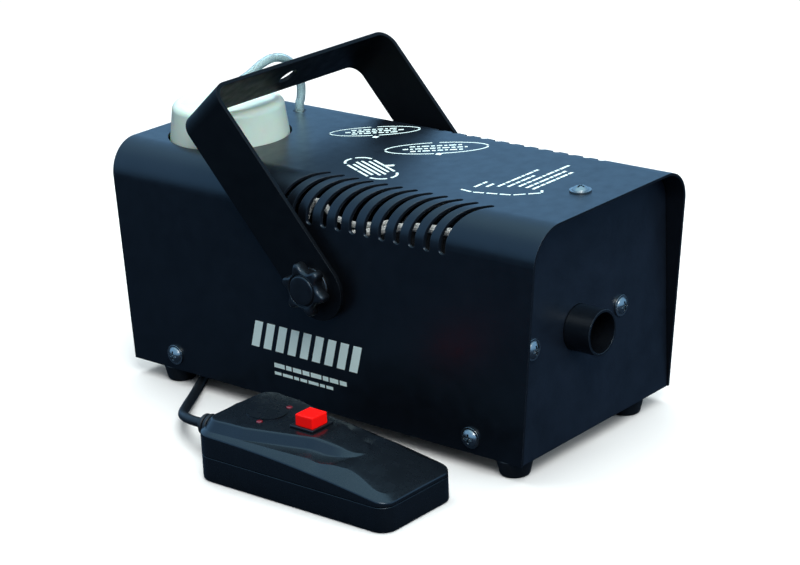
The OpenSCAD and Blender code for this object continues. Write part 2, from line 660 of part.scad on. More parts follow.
module remote_cable() color("#141519") at_home() bar_along(concat([[fittings_x, rear_y + 23.5, socket_z]],
    curve([[fittings_x, rear_y + 25, socket_z], [35.4, rear_y + 32.4, 19.5], [33.5, rear_y + 31, 10],
        [29.5, rear_y + 22, 4.2], [22, rear_y + 10, 2.7], [8, 116, 2.7], [-11, 104.5, 2.7],
        [-31, 92.2, 2.7], [-52, 79.4, 2.7], [-67, 70, 3], [-83, 59.6, 4.4], [-95.5, 49.4, 7.6],
        [-103.6, 40, 10.8], [-107.8, 31.5, 12.6], [remote_x, 25.5, relief_z]], 5),
    [[remote_x, 24.1, relief_z]]), cord_r, [0.3, 0.25, 0.4], 14);

module strain_relief() color("#141519") at_home() {
    rod_y(3, 8.4, remote_x, relief_z, 5);
    rod_y(8.3, 10, remote_x, relief_z, 7);
    for (i = [0:3]) rod_y(11.2 + i * 3, 13 + i * 3, remote_x, relief_z, 6.6 - i * 0.5);
    rod_y(9, 24, remote_x, relief_z, 4);
}

// Hand remote

// Plan outline of the remote, drawn in by an inset
module remote_outline(inset = 0) translate([remote_x, 0]) hull() {
    $fn = 32;
    rear_r = 9;
    nose_r = 7;
    for (s = [-1, 1]) {
        translate([s * (remote_hw_rear - rear_r), remote_rear_y - rear_r - 2]) circle(rear_r - inset);
        translate([s * (remote_hw_nose - nose_r), remote_nose_y + nose_r]) circle(nose_r - inset);
    }
    translate([0, remote_rear_y - 12]) circle(12 - inset);
}

// The crowned upper half, drawn in by an inset
module remote_crown(inset) hull() {
    translate([0, 0, seam_z]) linear_extrude(7.5 - inset) remote_outline(inset);
    translate([0, 0, seam_z]) linear_extrude(14.5 - inset) intersection() {
        remote_outline(inset + 0.4);
        translate([remote_x - 40, -60]) square([80, 80]);
    }
    translate([remote_x, -31, seam_z]) linear_extrude(remote_h - seam_z - inset) rounded_rect(26, 44, 6);
}

module remote_top() color("#0f1013") at_home() difference() {
    translate([0, 0, gap / 2]) remote_crown(0);
    translate([0, 0, -0.5]) remote_crown(wall);
    translate([remote_x, button_y, 20]) cube([button_w + 0.6, button_w + 0.6, 30], center = true);
    for (s = [-1, 1]) translate([remote_x + s * light_dx, light_y, 15]) cylinder(h = 20, r = 1.7);
    rod_y(0, 12, remote_x, relief_z, 5.1);
    box([remote_x - 60, -200, 0], [remote_x + 60, 60, seam_z + gap / 2]);
}

module remote_base() color("#101115") at_home() difference() {
    union() {
        difference() {
            hull() {
                linear_extrude(0.5) remote_outline(2);
                translate([0, 0, 2.5]) linear_extrude(seam_z - 2.5) remote_outline();
            }
            translate([0, 0, wall]) linear_extrude(10) remote_outline(wall);
        }
        for (y = [-80, -12]) translate([remote_x, y, 0.5]) cylinder(h = 11.4, r = 3.2);
    }
    for (y = [-80, -12]) translate([remote_x, y, -eps]) {
        cylinder(h = eps + 1.6, r = 3);
        cylinder(h = 11, r = 1.5);
    }
}

module remote_screws() color("silver") at_home() for (y = [-80, -12]) translate([remote_x, y, 0.4]) {
    cylinder(h = 1.2, r = 2.8);
    cylinder(h = 9, r = 1.4);
}

module remote_button() color("#e2231a") at_home() translate([remote_x, button_y, 0]) {
    translate([0, 0, 23.5]) linear_extrude(10.5) square(button_w, center = true);
    translate([0, 0, 23]) linear_extrude(1.8) square(button_w + 3, center = true);
    translate([0, 0, 20.1]) cylinder(h = 3.5, r = 2);
}

module button_bezel() color("#1a1b1f") at_home() translate([remote_x, button_y, remote_h + gap])
    linear_extrude(1.1) difference() {
        square([14, 13.4], center = true);
        square(button_w + 0.6, center = true);
    }

module remote_lights() color("#8c2a2a") at_home() for (s = [-1, 1])
    translate([remote_x + s * light_dx, light_y, 13.8]) cylinder(h = remote_h - 13.4, r = 1.5);

module remote_board() color("#1f5a34") at_home() translate([remote_x, -46, 12])
    linear_extrude(1.6) difference() {
        square([30, 72], center = true);
        for (y = [-34, 34]) translate([0, y]) circle(1.6);
    }

module remote_switch() color("#2b2d31") at_home() translate([remote_x, button_y, 13.7]) difference() {
    linear_extrude(4.3) square(6, center = true);
    translate([0, 0, 2.2]) cylinder(h = 5, r = 1.8);
}

module switch_plunger() color("#c9ccd0") at_home() translate([remote_x, button_y, 17.6])
    cylinder(h = 2.4, r = 1.7);

cover();
chassis();
bulkhead();
case_screws();
rubber_feet();
foot_screws();
bracket();
left_knob();
right_knob();
left_stud();
right_stud();
left_clamp_washer();
right_clamp_washer();
spacer_washers();
rivet_nuts();
tank();
tank_cap();
cap_seal();
suction_hose();
pickup_filter();
hose_grommet();
pump_body();
pump_coil();
pump_yoke();
pump_plunger();
pump_spring();
pump_mount();
delivery_hose();
heater_block();
heater_element();
nozzle_jet();
nozzle_tube();
insulation();
heater_carrier();
heater_saddle();
thermostat();
thermal_fuse();
heater_leads();
wiring_harness();
terminal_block();
power_inlet();
inlet_pins();
fuse_drawer();
fuse();
switch_body();
switch_rocker();
remote_socket();
remote_plug();
remote_cable();
strain_relief();
remote_top();
remote_base();
remote_button();
button_bezel();
remote_lights();
remote_board();
remote_switch();
switch_plunger();
remote_screws();
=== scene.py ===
import json
import math

import bmesh
import bpy
from mathutils import Matrix, Vector


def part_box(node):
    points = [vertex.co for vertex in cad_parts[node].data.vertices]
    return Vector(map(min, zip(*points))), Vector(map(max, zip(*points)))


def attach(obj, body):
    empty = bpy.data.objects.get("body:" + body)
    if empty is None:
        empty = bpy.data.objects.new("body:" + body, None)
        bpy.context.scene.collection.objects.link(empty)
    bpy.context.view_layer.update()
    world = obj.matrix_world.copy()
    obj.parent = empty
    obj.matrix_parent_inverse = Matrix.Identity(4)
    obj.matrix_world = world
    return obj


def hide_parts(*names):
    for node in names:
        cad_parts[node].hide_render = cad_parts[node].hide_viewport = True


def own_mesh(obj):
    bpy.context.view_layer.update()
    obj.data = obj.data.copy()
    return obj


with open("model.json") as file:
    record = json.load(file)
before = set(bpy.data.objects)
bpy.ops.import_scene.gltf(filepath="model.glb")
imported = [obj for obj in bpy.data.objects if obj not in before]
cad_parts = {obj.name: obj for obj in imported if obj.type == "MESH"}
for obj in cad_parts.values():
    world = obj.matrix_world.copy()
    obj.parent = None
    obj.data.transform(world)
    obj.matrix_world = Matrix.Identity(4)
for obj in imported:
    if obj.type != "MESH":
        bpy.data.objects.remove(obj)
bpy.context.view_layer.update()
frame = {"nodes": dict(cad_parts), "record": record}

NODES = frame["nodes"]
SLOT_OF = {s["node"]: s["material_slot"] for s in frame["record"]["subparts"]}
MM = 0.001

# Pieces are drawn in millimetres, about the point on the ground under the middle of the chassis.
# HOME is that point in the frame
_low, _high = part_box("chassis")
HOME = Vector((_low.x + _high.x, _low.y + _high.y, 0)) * (1000 / 2)


def box_mm(node):
    """A node's lowest and highest corners, in millimetres from HOME."""
    return [corner * 1000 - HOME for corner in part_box(node)]


def middle(node):
    """The middle of a node's box, in millimetres from HOME."""
    low, high = box_mm(node)
    return (low + high) / 2


# Places and sizes shared with the CAD frame
TOP_Z = box_mm("cover")[1].z
SIDE_X = box_mm("cover")[1].x
PIVOT = middle("left_stud")
KNOB_SEAT = box_mm("right_knob")[0].x
KNOB_TOP = box_mm("right_knob")[1].x - KNOB_SEAT
CAP = middle("tank_cap")
CAP_LOW, CAP_TOP = (v.z for v in box_mm("tank_cap"))
CAP_R = box_mm("tank_cap")[1].x - CAP.x
HOSE_EXIT = middle("hose_grommet")
REMOTE_X = middle("remote_base").x
REMOTE_NOSE, REMOTE_REAR = (v.y for v in box_mm("remote_base"))
SEAM_Z = box_mm("remote_base")[1].z
PLATEAU_Z = box_mm("button_bezel")[0].z - 0.1
BUTTON = middle("remote_button")
LIGHT = middle("remote_lights")
LIGHT_R = 1.5
LIGHT_DX = box_mm("remote_lights")[1].x - LIGHT.x - LIGHT_R
RELIEF = middle("strain_relief")


# ---------------------------------------------------------------- materials

def node_material(name):
    """A new material with its node tree and its Principled shader."""
    mat = bpy.data.materials.new(name)
    mat.use_nodes = True
    tree = mat.node_tree
    return mat, tree, tree.nodes["Principled BSDF"]


def link(tree, a, b):
    tree.links.new(a, b)


def noise(tree, scale, detail=3.0, stretch=(1, 1, 1), rough=0.55):
    """A noise texture in the part's own millimetres: scale 1 is one feature per millimetre."""
    coord = tree.nodes.new("ShaderNodeTexCoord")
    mapping = tree.nodes.new("ShaderNodeMapping")
    mapping.inputs["Scale"].default_value = [1000 * s for s in stretch]
    tex = tree.nodes.new("ShaderNodeTexNoise")
    tex.inputs["Scale"].default_value = scale
    tex.inputs["Detail"].default_value = detail
    tex.inputs["Roughness"].default_value = rough
    link(tree, coord.outputs["Object"], mapping.inputs["Vector"])
    link(tree, mapping.outputs["Vector"], tex.inputs["Vector"])
    return tex.outputs["Fac"]


def ramp(tree, value, stops):
    """Maps a value to a colour or a grey through (position, colour) stops."""
    node = tree.nodes.new("ShaderNodeValToRGB")
    ends = node.color_ramp.elements
    while len(ends) < len(stops):
        ends.new(0.5)
    for end, (at, colour) in zip(ends, stops):
        grey = not isinstance(colour, (tuple, list))
        end.position = at
        end.color = (colour, colour, colour, 1) if grey else (*colour, 1)
    link(tree, value, node.inputs["Fac"])
    return node.outputs["Color"]


def mix(tree, factor, a, b):
    node = tree.nodes.new("ShaderNodeMix")
    node.data_type = "RGBA"
    for socket, value in ((node.inputs[0], factor), (node.inputs[6], a), (node.inputs[7], b)):
        if isinstance(value, bpy.types.NodeSocket):
            link(tree, value, socket)
        elif isinstance(value, (tuple, list)):
            socket.default_value = (*value, 1)
        else:
            socket.default_value = value
    return node.outputs[2]


def edge_mask(tree, radius):
    """White where the surface turns within radius millimetres, for edges with rubbed wear and a
    painted highlight.
    """
    bevel = tree.nodes.new("ShaderNodeBevel")
    bevel.samples = 4
    bevel.inputs["Radius"].default_value = radius * MM
    geometry = tree.nodes.new("ShaderNodeNewGeometry")
    dot = tree.nodes.new("ShaderNodeVectorMath")
    dot.operation = "DOT_PRODUCT"
    link(tree, bevel.outputs["Normal"], dot.inputs[0])
    link(tree, geometry.outputs["Normal"], dot.inputs[1])
    return ramp(tree, dot.outputs["Value"], [(0.75, 1.0), (0.97, 0.0)]), bevel.outputs["Normal"]


def finish(name, colour, rough, metal=0.0, grain=1.2, grain_depth=0.02, vary=0.15, rough_vary=0.08,
           stretch=(1, 1, 1), coat=0.0, edge=None, edge_radius=0.5, ior=1.5, **extra):
    """A procedural finish: colour and roughness that vary over centimetres, a fine bump, and
    lighter edges if edge gives their colour: rubbed wear in patches with a painted highlight.
    grain_depth and edge_radius are in millimetres."""
    mat, tree, bsdf = node_material(name)
    cloud = noise(tree, 0.045, 4.0)
    dark = tuple(c * (1 - vary) for c in colour)
    light = tuple(min(1.0, c * (1 + vary)) for c in colour)
    base = ramp(tree, cloud, [(0.3, dark), (0.7, light)])
    patches = noise(tree, 0.16, 5.0, stretch)
    roughness = ramp(tree, patches, [(0.3, rough - rough_vary), (0.7, rough + rough_vary)])
    grains = noise(tree, grain, 2.0, stretch)
    bump = tree.nodes.new("ShaderNodeBump")
    bump.inputs["Strength"].default_value = 1.0
    bump.inputs["Distance"].default_value = grain_depth * MM
    link(tree, grains, bump.inputs["Height"])
    # Edges turn towards the edge colour: a painted highlight, broken into patches like rubbed
    # wear.
    if edge is not None:
        mask, rounded_normal = edge_mask(tree, edge_radius)
        wear_and_highlight = ramp(tree, noise(tree, 0.5, 4.0), [(0.3, 0.25), (0.65, 1.0)])
        both = tree.nodes.new("ShaderNodeMath")
        both.operation = "MULTIPLY"
        link(tree, mask, both.inputs[0])
        link(tree, wear_and_highlight, both.inputs[1])
        base = mix(tree, both.outputs[0], base, edge)
        link(tree, rounded_normal, bump.inputs["Normal"])
    link(tree, base, bsdf.inputs["Base Color"])
    link(tree, roughness, bsdf.inputs["Roughness"])
    link(tree, bump.outputs["Normal"], bsdf.inputs["Normal"])
    bsdf.inputs["Metallic"].default_value = metal
    bsdf.inputs["IOR"].default_value = ior
    bsdf.inputs["Coat Weight"].default_value = coat
    for key, value in extra.items():
        bsdf.inputs[key.replace("_", " ")].default_value = value
    return mat


def woven(name, colour):
    """Glass-fibre cloth: two crossed waves give the weave and its shading."""
    mat, tree, bsdf = node_material(name)
    coord = tree.nodes.new("ShaderNodeTexCoord")
    waves = []
    for axis in ("X", "Y"):
        wave = tree.nodes.new("ShaderNodeTexWave")
        wave.bands_direction = axis
        wave.inputs["Scale"].default_value = 420
        wave.inputs["Distortion"].default_value = 1.2
        link(tree, coord.outputs["Object"], wave.inputs["Vector"])
        waves.append(wave.outputs["Fac"])
    weave = tree.nodes.new("ShaderNodeMath")
    weave.operation = "MAXIMUM"
    link(tree, waves[0], weave.inputs[0])
    link(tree, waves[1], weave.inputs[1])
    base = ramp(tree, weave.outputs[0], [(0.1, tuple(c * 0.6 for c in colour)), (0.9, colour)])
    bump = tree.nodes.new("ShaderNodeBump")
    bump.inputs["Distance"].default_value = 0.15 * MM
    link(tree, weave.outputs[0], bump.inputs["Height"])
    link(tree, base, bsdf.inputs["Base Color"])
    link(tree, bump.outputs["Normal"], bsdf.inputs["Normal"])
    bsdf.inputs["Roughness"].default_value = 0.85
    return mat


def clear_tube(name, centre, rim):
    """Soft clear plastic: pale where it is seen face on, and darker along its outlines, a painted
    shade.
    """
    mat = finish(name, centre, 0.2, grain=0.7, grain_depth=0.015, vary=0.05, ior=1.35,
                 Transmission_Weight=0.75)
    tree = mat.node_tree
    bsdf = tree.nodes["Principled BSDF"]
    facing = tree.nodes.new("ShaderNodeLayerWeight")
    facing.inputs["Blend"].default_value = 0.35
    cloudy = bsdf.inputs["Base Color"].links[0].from_socket
    link(tree, mix(tree, facing.outputs["Facing"], cloudy, rim), bsdf.inputs["Base Color"])
    return mat


TINT = (0.82, 0.92, 1.0, 1)
# Lighter colour for the powder coat's edges: a painted highlight with rubbed wear.
COAT_EDGE_WEAR_AND_HIGHLIGHT = (0.04, 0.052, 0.064)

# One material for each slot of the record
MATERIALS = {
    # Each edge colour is lighter than its base: a painted highlight with rubbed wear.
    "black_steel": finish("powder_coat", (0.0027, 0.0038, 0.006), 0.34, grain=1.6,
                          grain_depth=0.012, vary=0.2, rough_vary=0.04, edge=COAT_EDGE_WEAR_AND_HIGHLIGHT,
                          edge_radius=0.3, Specular_Tint=TINT),
    "plain_steel": finish("zinc_steel", (0.42, 0.43, 0.44), 0.34, metal=1.0, grain=0.8,
                          grain_depth=0.008, vary=0.12, stretch=(1, 0.15, 1)),
    "screw_steel": finish("nickel", (0.32, 0.32, 0.31), 0.27, metal=1.0, grain=2.0,
                          grain_depth=0.006, vary=0.12, edge=(0.6, 0.61, 0.61), edge_radius=0.15),
    "brass": finish("brass", (0.62, 0.4, 0.13), 0.3, metal=1.0, grain=1.5, grain_depth=0.006),
    "cast_aluminium": finish("cast_aluminium", (0.55, 0.56, 0.57), 0.48, metal=1.0, grain=0.9,
                             grain_depth=0.06, vary=0.12),
    "black_rubber": finish("black_rubber", (0.0035, 0.004, 0.005), 0.5, grain=2.2,
                           grain_depth=0.02, vary=0.2, edge=(0.014, 0.016, 0.018)),
    "grey_rubber": finish("grey_rubber", (0.55, 0.57, 0.54), 0.6, grain=2.0, grain_depth=0.015),
    "black_plastic": finish("black_plastic", (0.0035, 0.0042, 0.0055), 0.36, grain=2.4,
                            grain_depth=0.014, vary=0.15, edge=(0.024, 0.03, 0.035),
                            edge_radius=0.35, Specular_Tint=TINT),
    "gloss_black_plastic": finish("remote_plastic", (0.0035, 0.0048, 0.0066), 0.27, grain=3.0,
                                  grain_depth=0.004, vary=0.12, rough_vary=0.04,
                                  Specular_Tint=TINT),
    "white_plastic": finish("milk_plastic", (0.66, 0.80, 0.73), 0.36, grain=1.4, grain_depth=0.008,
                            vary=0.04, Subsurface_Weight=0.4, Subsurface_Scale=0.006),
    # The red plastic's faint emission is a painted glow; the part is no lamp.
    "red_plastic": finish("red_plastic", (0.9, 0.005, 0.004), 0.4, grain=2.0, grain_depth=0.008,
                          vary=0.04, Specular_IOR_Level=0.2, Subsurface_Weight=0.15,
                          Subsurface_Scale=0.002, Emission_Color=(1, 0.01, 0.005, 1),
                          Emission_Strength=0.12),
    "green_board": finish("board", (0.02, 0.12, 0.05), 0.35, grain=2.0, grain_depth=0.01),
    "fuse_glass": finish("fuse_glass", (0.8, 0.84, 0.82), 0.12, Transmission_Weight=0.85),
    # The hose's second colour is the painted shade along its outlines.
    "clear_plastic": clear_tube("clear_hose", (0.8, 0.95, 0.93), (0.12, 0.19, 0.2)),
    "white_fabric": woven("glass_cloth", (0.62, 0.66, 0.63)),
}
INK = finish("white_ink", (0.72, 0.92, 0.93), 0.5, grain=2.5, grain_depth=0.006, vary=0.08)

# Nodes that need a finish of their own and not their slot's; the chassis's holds painted light and
# the insulation's painted shade
SPECIAL = {
    "bracket": finish("bracket_coat", (0.0016, 0.0022, 0.0032), 0.52, grain=1.6, grain_depth=0.014,
                      vary=0.2, edge=(0.03, 0.04, 0.05), edge_radius=0.35,
                      Specular_IOR_Level=0.12),
    "heater_leads": woven("glass_sleeve", (0.93, 0.96, 0.95)),
    # The front panel is a lighter copy of the black powder coat: painted light for the light that
    # falls on that face.
    "chassis": finish("panel_coat_painted_light", (0.006, 0.0095, 0.0165), 0.38, grain=1.6, grain_depth=0.012,
                      vary=0.3, rough_vary=0.05, edge=COAT_EDGE_WEAR_AND_HIGHLIGHT, edge_radius=0.3,
                      Specular_Tint=TINT),
    # The insulation is drawn near black: painted shade for the shadow it lies in inside the case.
    "insulation": finish("insulation_painted_shade", (0.012, 0.013, 0.015), 0.92, grain=1.1, grain_depth=0.25,
                         vary=0.35, Specular_IOR_Level=0.1),
    "remote_lights": finish("red_lens", (0.16, 0.012, 0.02), 0.16, grain=2.0, grain_depth=0.004,
                            coat=0.6),
}


# ---------------------------------------------------------------- mesh helpers

def add_piece(name, mesh, body, material, smooth=35):
    """Puts a finished mesh in the scene, in metres, riding on a CAD body."""
    obj = bpy.data.objects.new(name, mesh)
    bpy.context.scene.collection.objects.link(obj)
    mesh.materials.clear()
    mesh.materials.append(material)
    shade(mesh, smooth)
    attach(obj, body)
    return obj


def shade(mesh, angle):
    """Smooth shading that stops at edges sharper than the angle, in degrees."""
    bm = bmesh.new()
    bm.from_mesh(mesh)
    for face in bm.faces:
        face.smooth = True
    for edge in bm.edges:
        if len(edge.link_faces) == 2:
            edge.smooth = edge.calc_face_angle() < math.radians(angle)
    bm.to_mesh(mesh)
    bm.free()


def mesh_from(name, points, faces):
    """A closed mesh from points in millimetres from HOME, with its faces turned outwards."""
    mesh = bpy.data.meshes.new(name)
    mesh.from_pydata([(Vector(p) + HOME) * MM for p in points], [], faces)
    bm = bmesh.new()
    bm.from_mesh(mesh)
    bmesh.ops.remove_doubles(bm, verts=bm.verts, dist=1e-7)
    bmesh.ops.dissolve_degenerate(bm, edges=bm.edges, dist=1e-8)
    bmesh.ops.recalc_face_normals(bm, faces=bm.faces)
    bm.to_mesh(mesh)
    bm.free()
    return mesh


def carve(mesh, cutters, operation="DIFFERENCE"):
    """The mesh after cutting away (or joining) each cutter mesh."""
    target = bpy.data.objects.new("carved", mesh)
    bpy.context.scene.collection.objects.link(target)
    tools = []
    for cutter in cutters:
        tool = bpy.data.objects.new("cutter", cutter)
        bpy.context.scene.collection.objects.link(tool)
        tools.append(tool)
        modifier = target.modifiers.new("carve", "BOOLEAN")
        modifier.solver = "EXACT"
        modifier.operation = operation
        modifier.object = tool
    graph = bpy.context.evaluated_depsgraph_get()
    result = bpy.data.meshes.new_from_object(target.evaluated_get(graph))
    for obj in tools + [target]:
        bpy.data.objects.remove(obj)
    return result


def rounded(profile, radii, steps=4):
    """A polyline with its corners rounded; radii has one entry per point, 0 for a sharp one."""
    out = []
    n = len(profile)
    for i, (p, r) in enumerate(zip(profile, radii)):
        p = Vector(p)
        if r <= 0 or i in (0, n - 1):
            out.append(p)
            continue
        a, b = (Vector(profile[i - 1]) - p), (Vector(profile[i + 1]) - p)
        half = a.angle(b, math.pi) / 2
        reach = min(r / max(math.tan(half), 1e-4), a.length * 0.49, b.length * 0.49)
        start, end = p + a.normalized() * reach, p + b.normalized() * reach
        for k in range(steps + 1):
            t = k / steps
            out.append((start * (1 - t) + p * t) * (1 - t) + (p * (1 - t) + end * t) * t)
    return out


def lathe_mesh(name, profile, origin, axis, segments):
    """Turns a closed (radius, height) profile about an axis through the origin point."""
    turn = Vector((0, 0, 1)).rotation_difference(Vector(axis)).to_matrix()
    origin = Vector(origin)
    points, faces = [], []
    n = len(profile)
    for s in range(segments):
        a = 2 * math.pi * s / segments
        for r, h in profile:
            points.append(origin + turn @ Vector((r * math.cos(a), r * math.sin(a), h)))
    for s in range(segments):
        t = (s + 1) % segments
        for i in range(n):
            j = (i + 1) % n
            quad = [s * n + i, s * n + j, t * n + j, t * n + i]
            flat = [k for k in (i, j) if profile[k][0] < 1e-6]
            if len(flat) == 2:
                continue
            if flat:
                quad = [q for q in quad if not (q // n == t and q % n == flat[0])]
            faces.append(quad)
    return mesh_from(name, points, faces)


def lathe(name, profile, origin, axis, body, slot, segments):
    """A piece turned about an axis, in its slot's material."""
    mesh = lathe_mesh(name, profile, origin, axis, segments)
    return add_piece(name, mesh, body, MATERIALS[slot])


PER_SPAN = 8


def curve_points(knots):
    """A smooth curve through the knots, PER_SPAN points from each knot to the next."""
    knots = [Vector(k) for k in knots]
    out = []
    for i in range(len(knots) - 1):
        a, b = knots[max(i - 1, 0)], knots[i]
        c, d = knots[i + 1], knots[min(i + 2, len(knots) - 1)]
        for k in range(PER_SPAN):
            t = k / PER_SPAN
            out.append(0.5 * (2 * b + (c - a) * t + (2 * a - 5 * b + 4 * c - d) * t * t
                              + (3 * b - a - 3 * c + d) * t ** 3))
    return out + [knots[-1]]


def tube(name, path, radius, body, slot, sides, bore=0.0):
    """A round bar along a path, or a tube if it has a bore. Its radius is a number, or a function
    of the point's index on the path."""
    n = len(path)
    tangents = [(path[min(i + 1, n - 1)] - path[max(i - 1, 0)]).normalized() for i in range(n)]
    normal = tangents[0].orthogonal().normalized()
    frames = []
    for t in tangents:
        normal = (normal - t * normal.dot(t)).normalized()
        frames.append((normal, t.cross(normal)))
    points, faces = [], []
    layers = (radius, bore) if bore else (radius,)
    for layer in layers:
        for i, (u, v) in enumerate(frames):
            r = layer(i) if callable(layer) else layer
            for k in range(sides):
                a = 2 * math.pi * k / sides
                points.append(path[i] + r * (math.cos(a) * u + math.sin(a) * v))
    ring = n * sides
    for layer in range(len(layers)):
        for i in range(n - 1):
            for k in range(sides):
                m = (k + 1) % sides
                start = layer * ring + i * sides
                faces.append([start + k, start + m, start + sides + m, start + sides + k])
    for i in (0, n - 1):
        if bore:
            for k in range(sides):
                m = (k + 1) % sides
                start = i * sides
                faces.append([start + k, start + m, ring + start + m, ring + start + k])
        else:
            faces.append([i * sides + k for k in range(sides)])
    mesh = mesh_from(name, points, faces)
    return add_piece(name, mesh, body, MATERIALS[slot], 40)


def prism_mesh(name, outlines, z0, z1, place=Matrix.Identity(4)):
    """Stands closed outlines (x, y) up between two heights, placed by a matrix in millimetres."""
    points, faces = [], []
    for outline in outlines:
        start, n = len(points), len(outline)
        for z in (z0, z1):
            points += [place @ Vector((x, y, z)) for x, y in outline]
        faces.append([start + k for k in range(n)])
        faces.append([start + n + k for k in range(n)])
        for k in range(n):
            m = (k + 1) % n
            faces.append([start + k, start + m, start + n + m, start + n + k])
    return mesh_from(name, points, faces)


# ---------------------------------------------------------------- carried-over nodes

# Edge rounding, in millimetres, of the CAD nodes that show
EDGES = {"cover": 0.25, "bracket": 0.4, "chassis": 0.2, "button_bezel": 0.25,
         "remote_button": 0.55, "remote_lights": 0.5, "case_screws": 0.12, "rubber_feet": 0.3,
         "nozzle_tube": 0.3, "hose_grommet": 0.2, "spacer_washers": 0.2, "power_inlet": 0.5,
         "fuse_drawer": 0.3, "switch_body": 0.4, "switch_rocker": 0.4, "remote_socket": 0.3,
         "remote_plug": 0.5, "inlet_pins": 0.2, "foot_screws": 0.2, "left_clamp_washer": 0.15,
         "right_clamp_washer": 0.15}


def round_edges(obj, width):
    """Merges a CAD node's flat facets, then rounds its sharp edges. Its mesh stays as it is."""
    weld = obj.modifiers.new("weld", "WELD")
    weld.merge_threshold = 1e-6
    flat = obj.modifiers.new("flat", "DECIMATE")
    flat.decimate_type = "DISSOLVE"
    flat.angle_limit = math.radians(0.5)
    bevel = obj.modifiers.new("bevel", "BEVEL")
    bevel.width = width * MM
    bevel.segments = 2
    bevel.limit_method = "ANGLE"
    bevel.angle_limit = math.radians(35)
    bevel.harden_normals = False
    obj.modifiers.new("normals", "WEIGHTED_NORMAL").keep_sharp = True


for node_name, node_obj in NODES.items():
    node_obj.data.materials.clear()
    node_obj.data.materials.append(SPECIAL.get(node_name, MATERIALS[SLOT_OF[node_name]]))
    if node_name in EDGES:
        round_edges(node_obj, EDGES[node_name])


# ---------------------------------------------------------------- cap, hose, knobs

def arc(x, y, r, start, end, steps):
    """Points of a circular arc about (x, y), angles in degrees."""
    angles = [math.radians(start + (end - start) * k / steps) for k in range(steps + 1)]
    return [(x + r * math.cos(a), y + r * math.sin(a)) for a in angles]


def make_cap():
    """A moulded screw cap: a broad rounded shoulder and a shallow dish, hollow from below, with a
    hole for the hose."""
    shoulder = 4.2              # rounding of the shoulder
    side_r = CAP_R - 1.75       # the cap's radius at the top of its side, which widens downwards
    lip, skin = 26.2, 132.1     # the hollow's radius, and the height of its ceiling
    hole_r = 2.4
    profile = [(hole_r, CAP_TOP - 0.9)]
    profile += arc(21.4, CAP_TOP + 0.3, 1.2, -90, -60, 2)
    profile += arc(side_r - shoulder, CAP_TOP - shoulder, shoulder, 90, 4, 12)
    profile += [(CAP_R - 0.12, TOP_Z), (CAP_R, CAP_LOW + 0.4), (CAP_R - 0.4, CAP_LOW)]
    profile += [(lip + 0.4, CAP_LOW), (lip, CAP_LOW + 0.4)]
    profile += [(lip, skin - 0.6), (lip - 0.6, skin), (hole_r, skin)]
    cap = lathe("screw_cap", profile, (CAP.x, CAP.y, 0), (0, 0, 1), "cap", "white_plastic", 128)
    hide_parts("tank_cap")


def make_hose():
    """The clear hose leaves the cap, arches over and goes down through the cover."""
    low = box_mm("suction_hose")[0].z
    knots = [(CAP.x, CAP.y, low), (CAP.x, CAP.y, 80), (CAP.x, CAP.y, CAP_TOP),
             (CAP.x, CAP.y, CAP_TOP + 1.5), (-12.3, 87.2, 138.6), (-9, 87.1, 140.3),
             (-4, 87, 141.2), (3, 86.8, 143.2), (11, 86.5, 146.4), (19, 86.1, 147.6),
             (27, 85.5, 145.4), (34.2, 84.8, 138.5), (36.2, 84.5, 130.5), (35.4, 84.3, 123.8),
             (HOSE_EXIT.x, HOSE_EXIT.y, TOP_Z + 0.7), (HOSE_EXIT.x, HOSE_EXIT.y, 88.2)]
    outer, bore, groove = 2.2, 1.5, 1.95
    groove_at = 9 * PER_SPAN

    def radius(i):
        return groove if i == groove_at else outer

    hose = tube("clear_hose", curve_points(knots), radius, "machine", "clear_plastic", 28, bore)
    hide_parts("suction_hose")


def make_spring():
    """The pump's return spring, under the hose's exit. Its end turns are close."""
    low, high = box_mm("pump_spring")
    wire, coil_r = 0.45, 3.6    # radii of the wire and of the coil
    turns, steps = 5, 24        # points in each turn
    end_rise, stroke = 1.0, 6.0
    middle_rise = (high.z - low.z - 2 * wire - 2 * end_rise) / (turns - 2)
    path = []
    for i in range(turns * steps + 1):
        turn = i / steps
        rise = min(turn, 1) * end_rise + min(max(turn - 1, 0), turns - 2) * middle_rise
        rise += max(turn - turns + 1, 0) * end_rise
        a = 2 * math.pi * turn
        path.append(Vector((HOSE_EXIT.x + coil_r * math.cos(a), HOSE_EXIT.y + coil_r * math.sin(a),
                            low.z + wire + rise)))
    spring = tube("return_spring", path, wire, "machine", "screw_steel", 12)
    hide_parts("pump_spring")
    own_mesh(spring)


def star_radius(angle, outer=12.5, notch_at=14.5, notch_r=5.5, lobes=6, turned=12):
    """Outline of the star knob at an angle: a circle with six round bites."""
    radius = outer
    for k in range(lobes):
        off = angle - math.radians(turned + 360 * k / lobes)
        inside = notch_r ** 2 - (notch_at * math.sin(off)) ** 2
        if inside > 0 and math.cos(off) > 0:
            radius = min(radius, notch_at * math.cos(off) - math.sqrt(inside))
    return radius


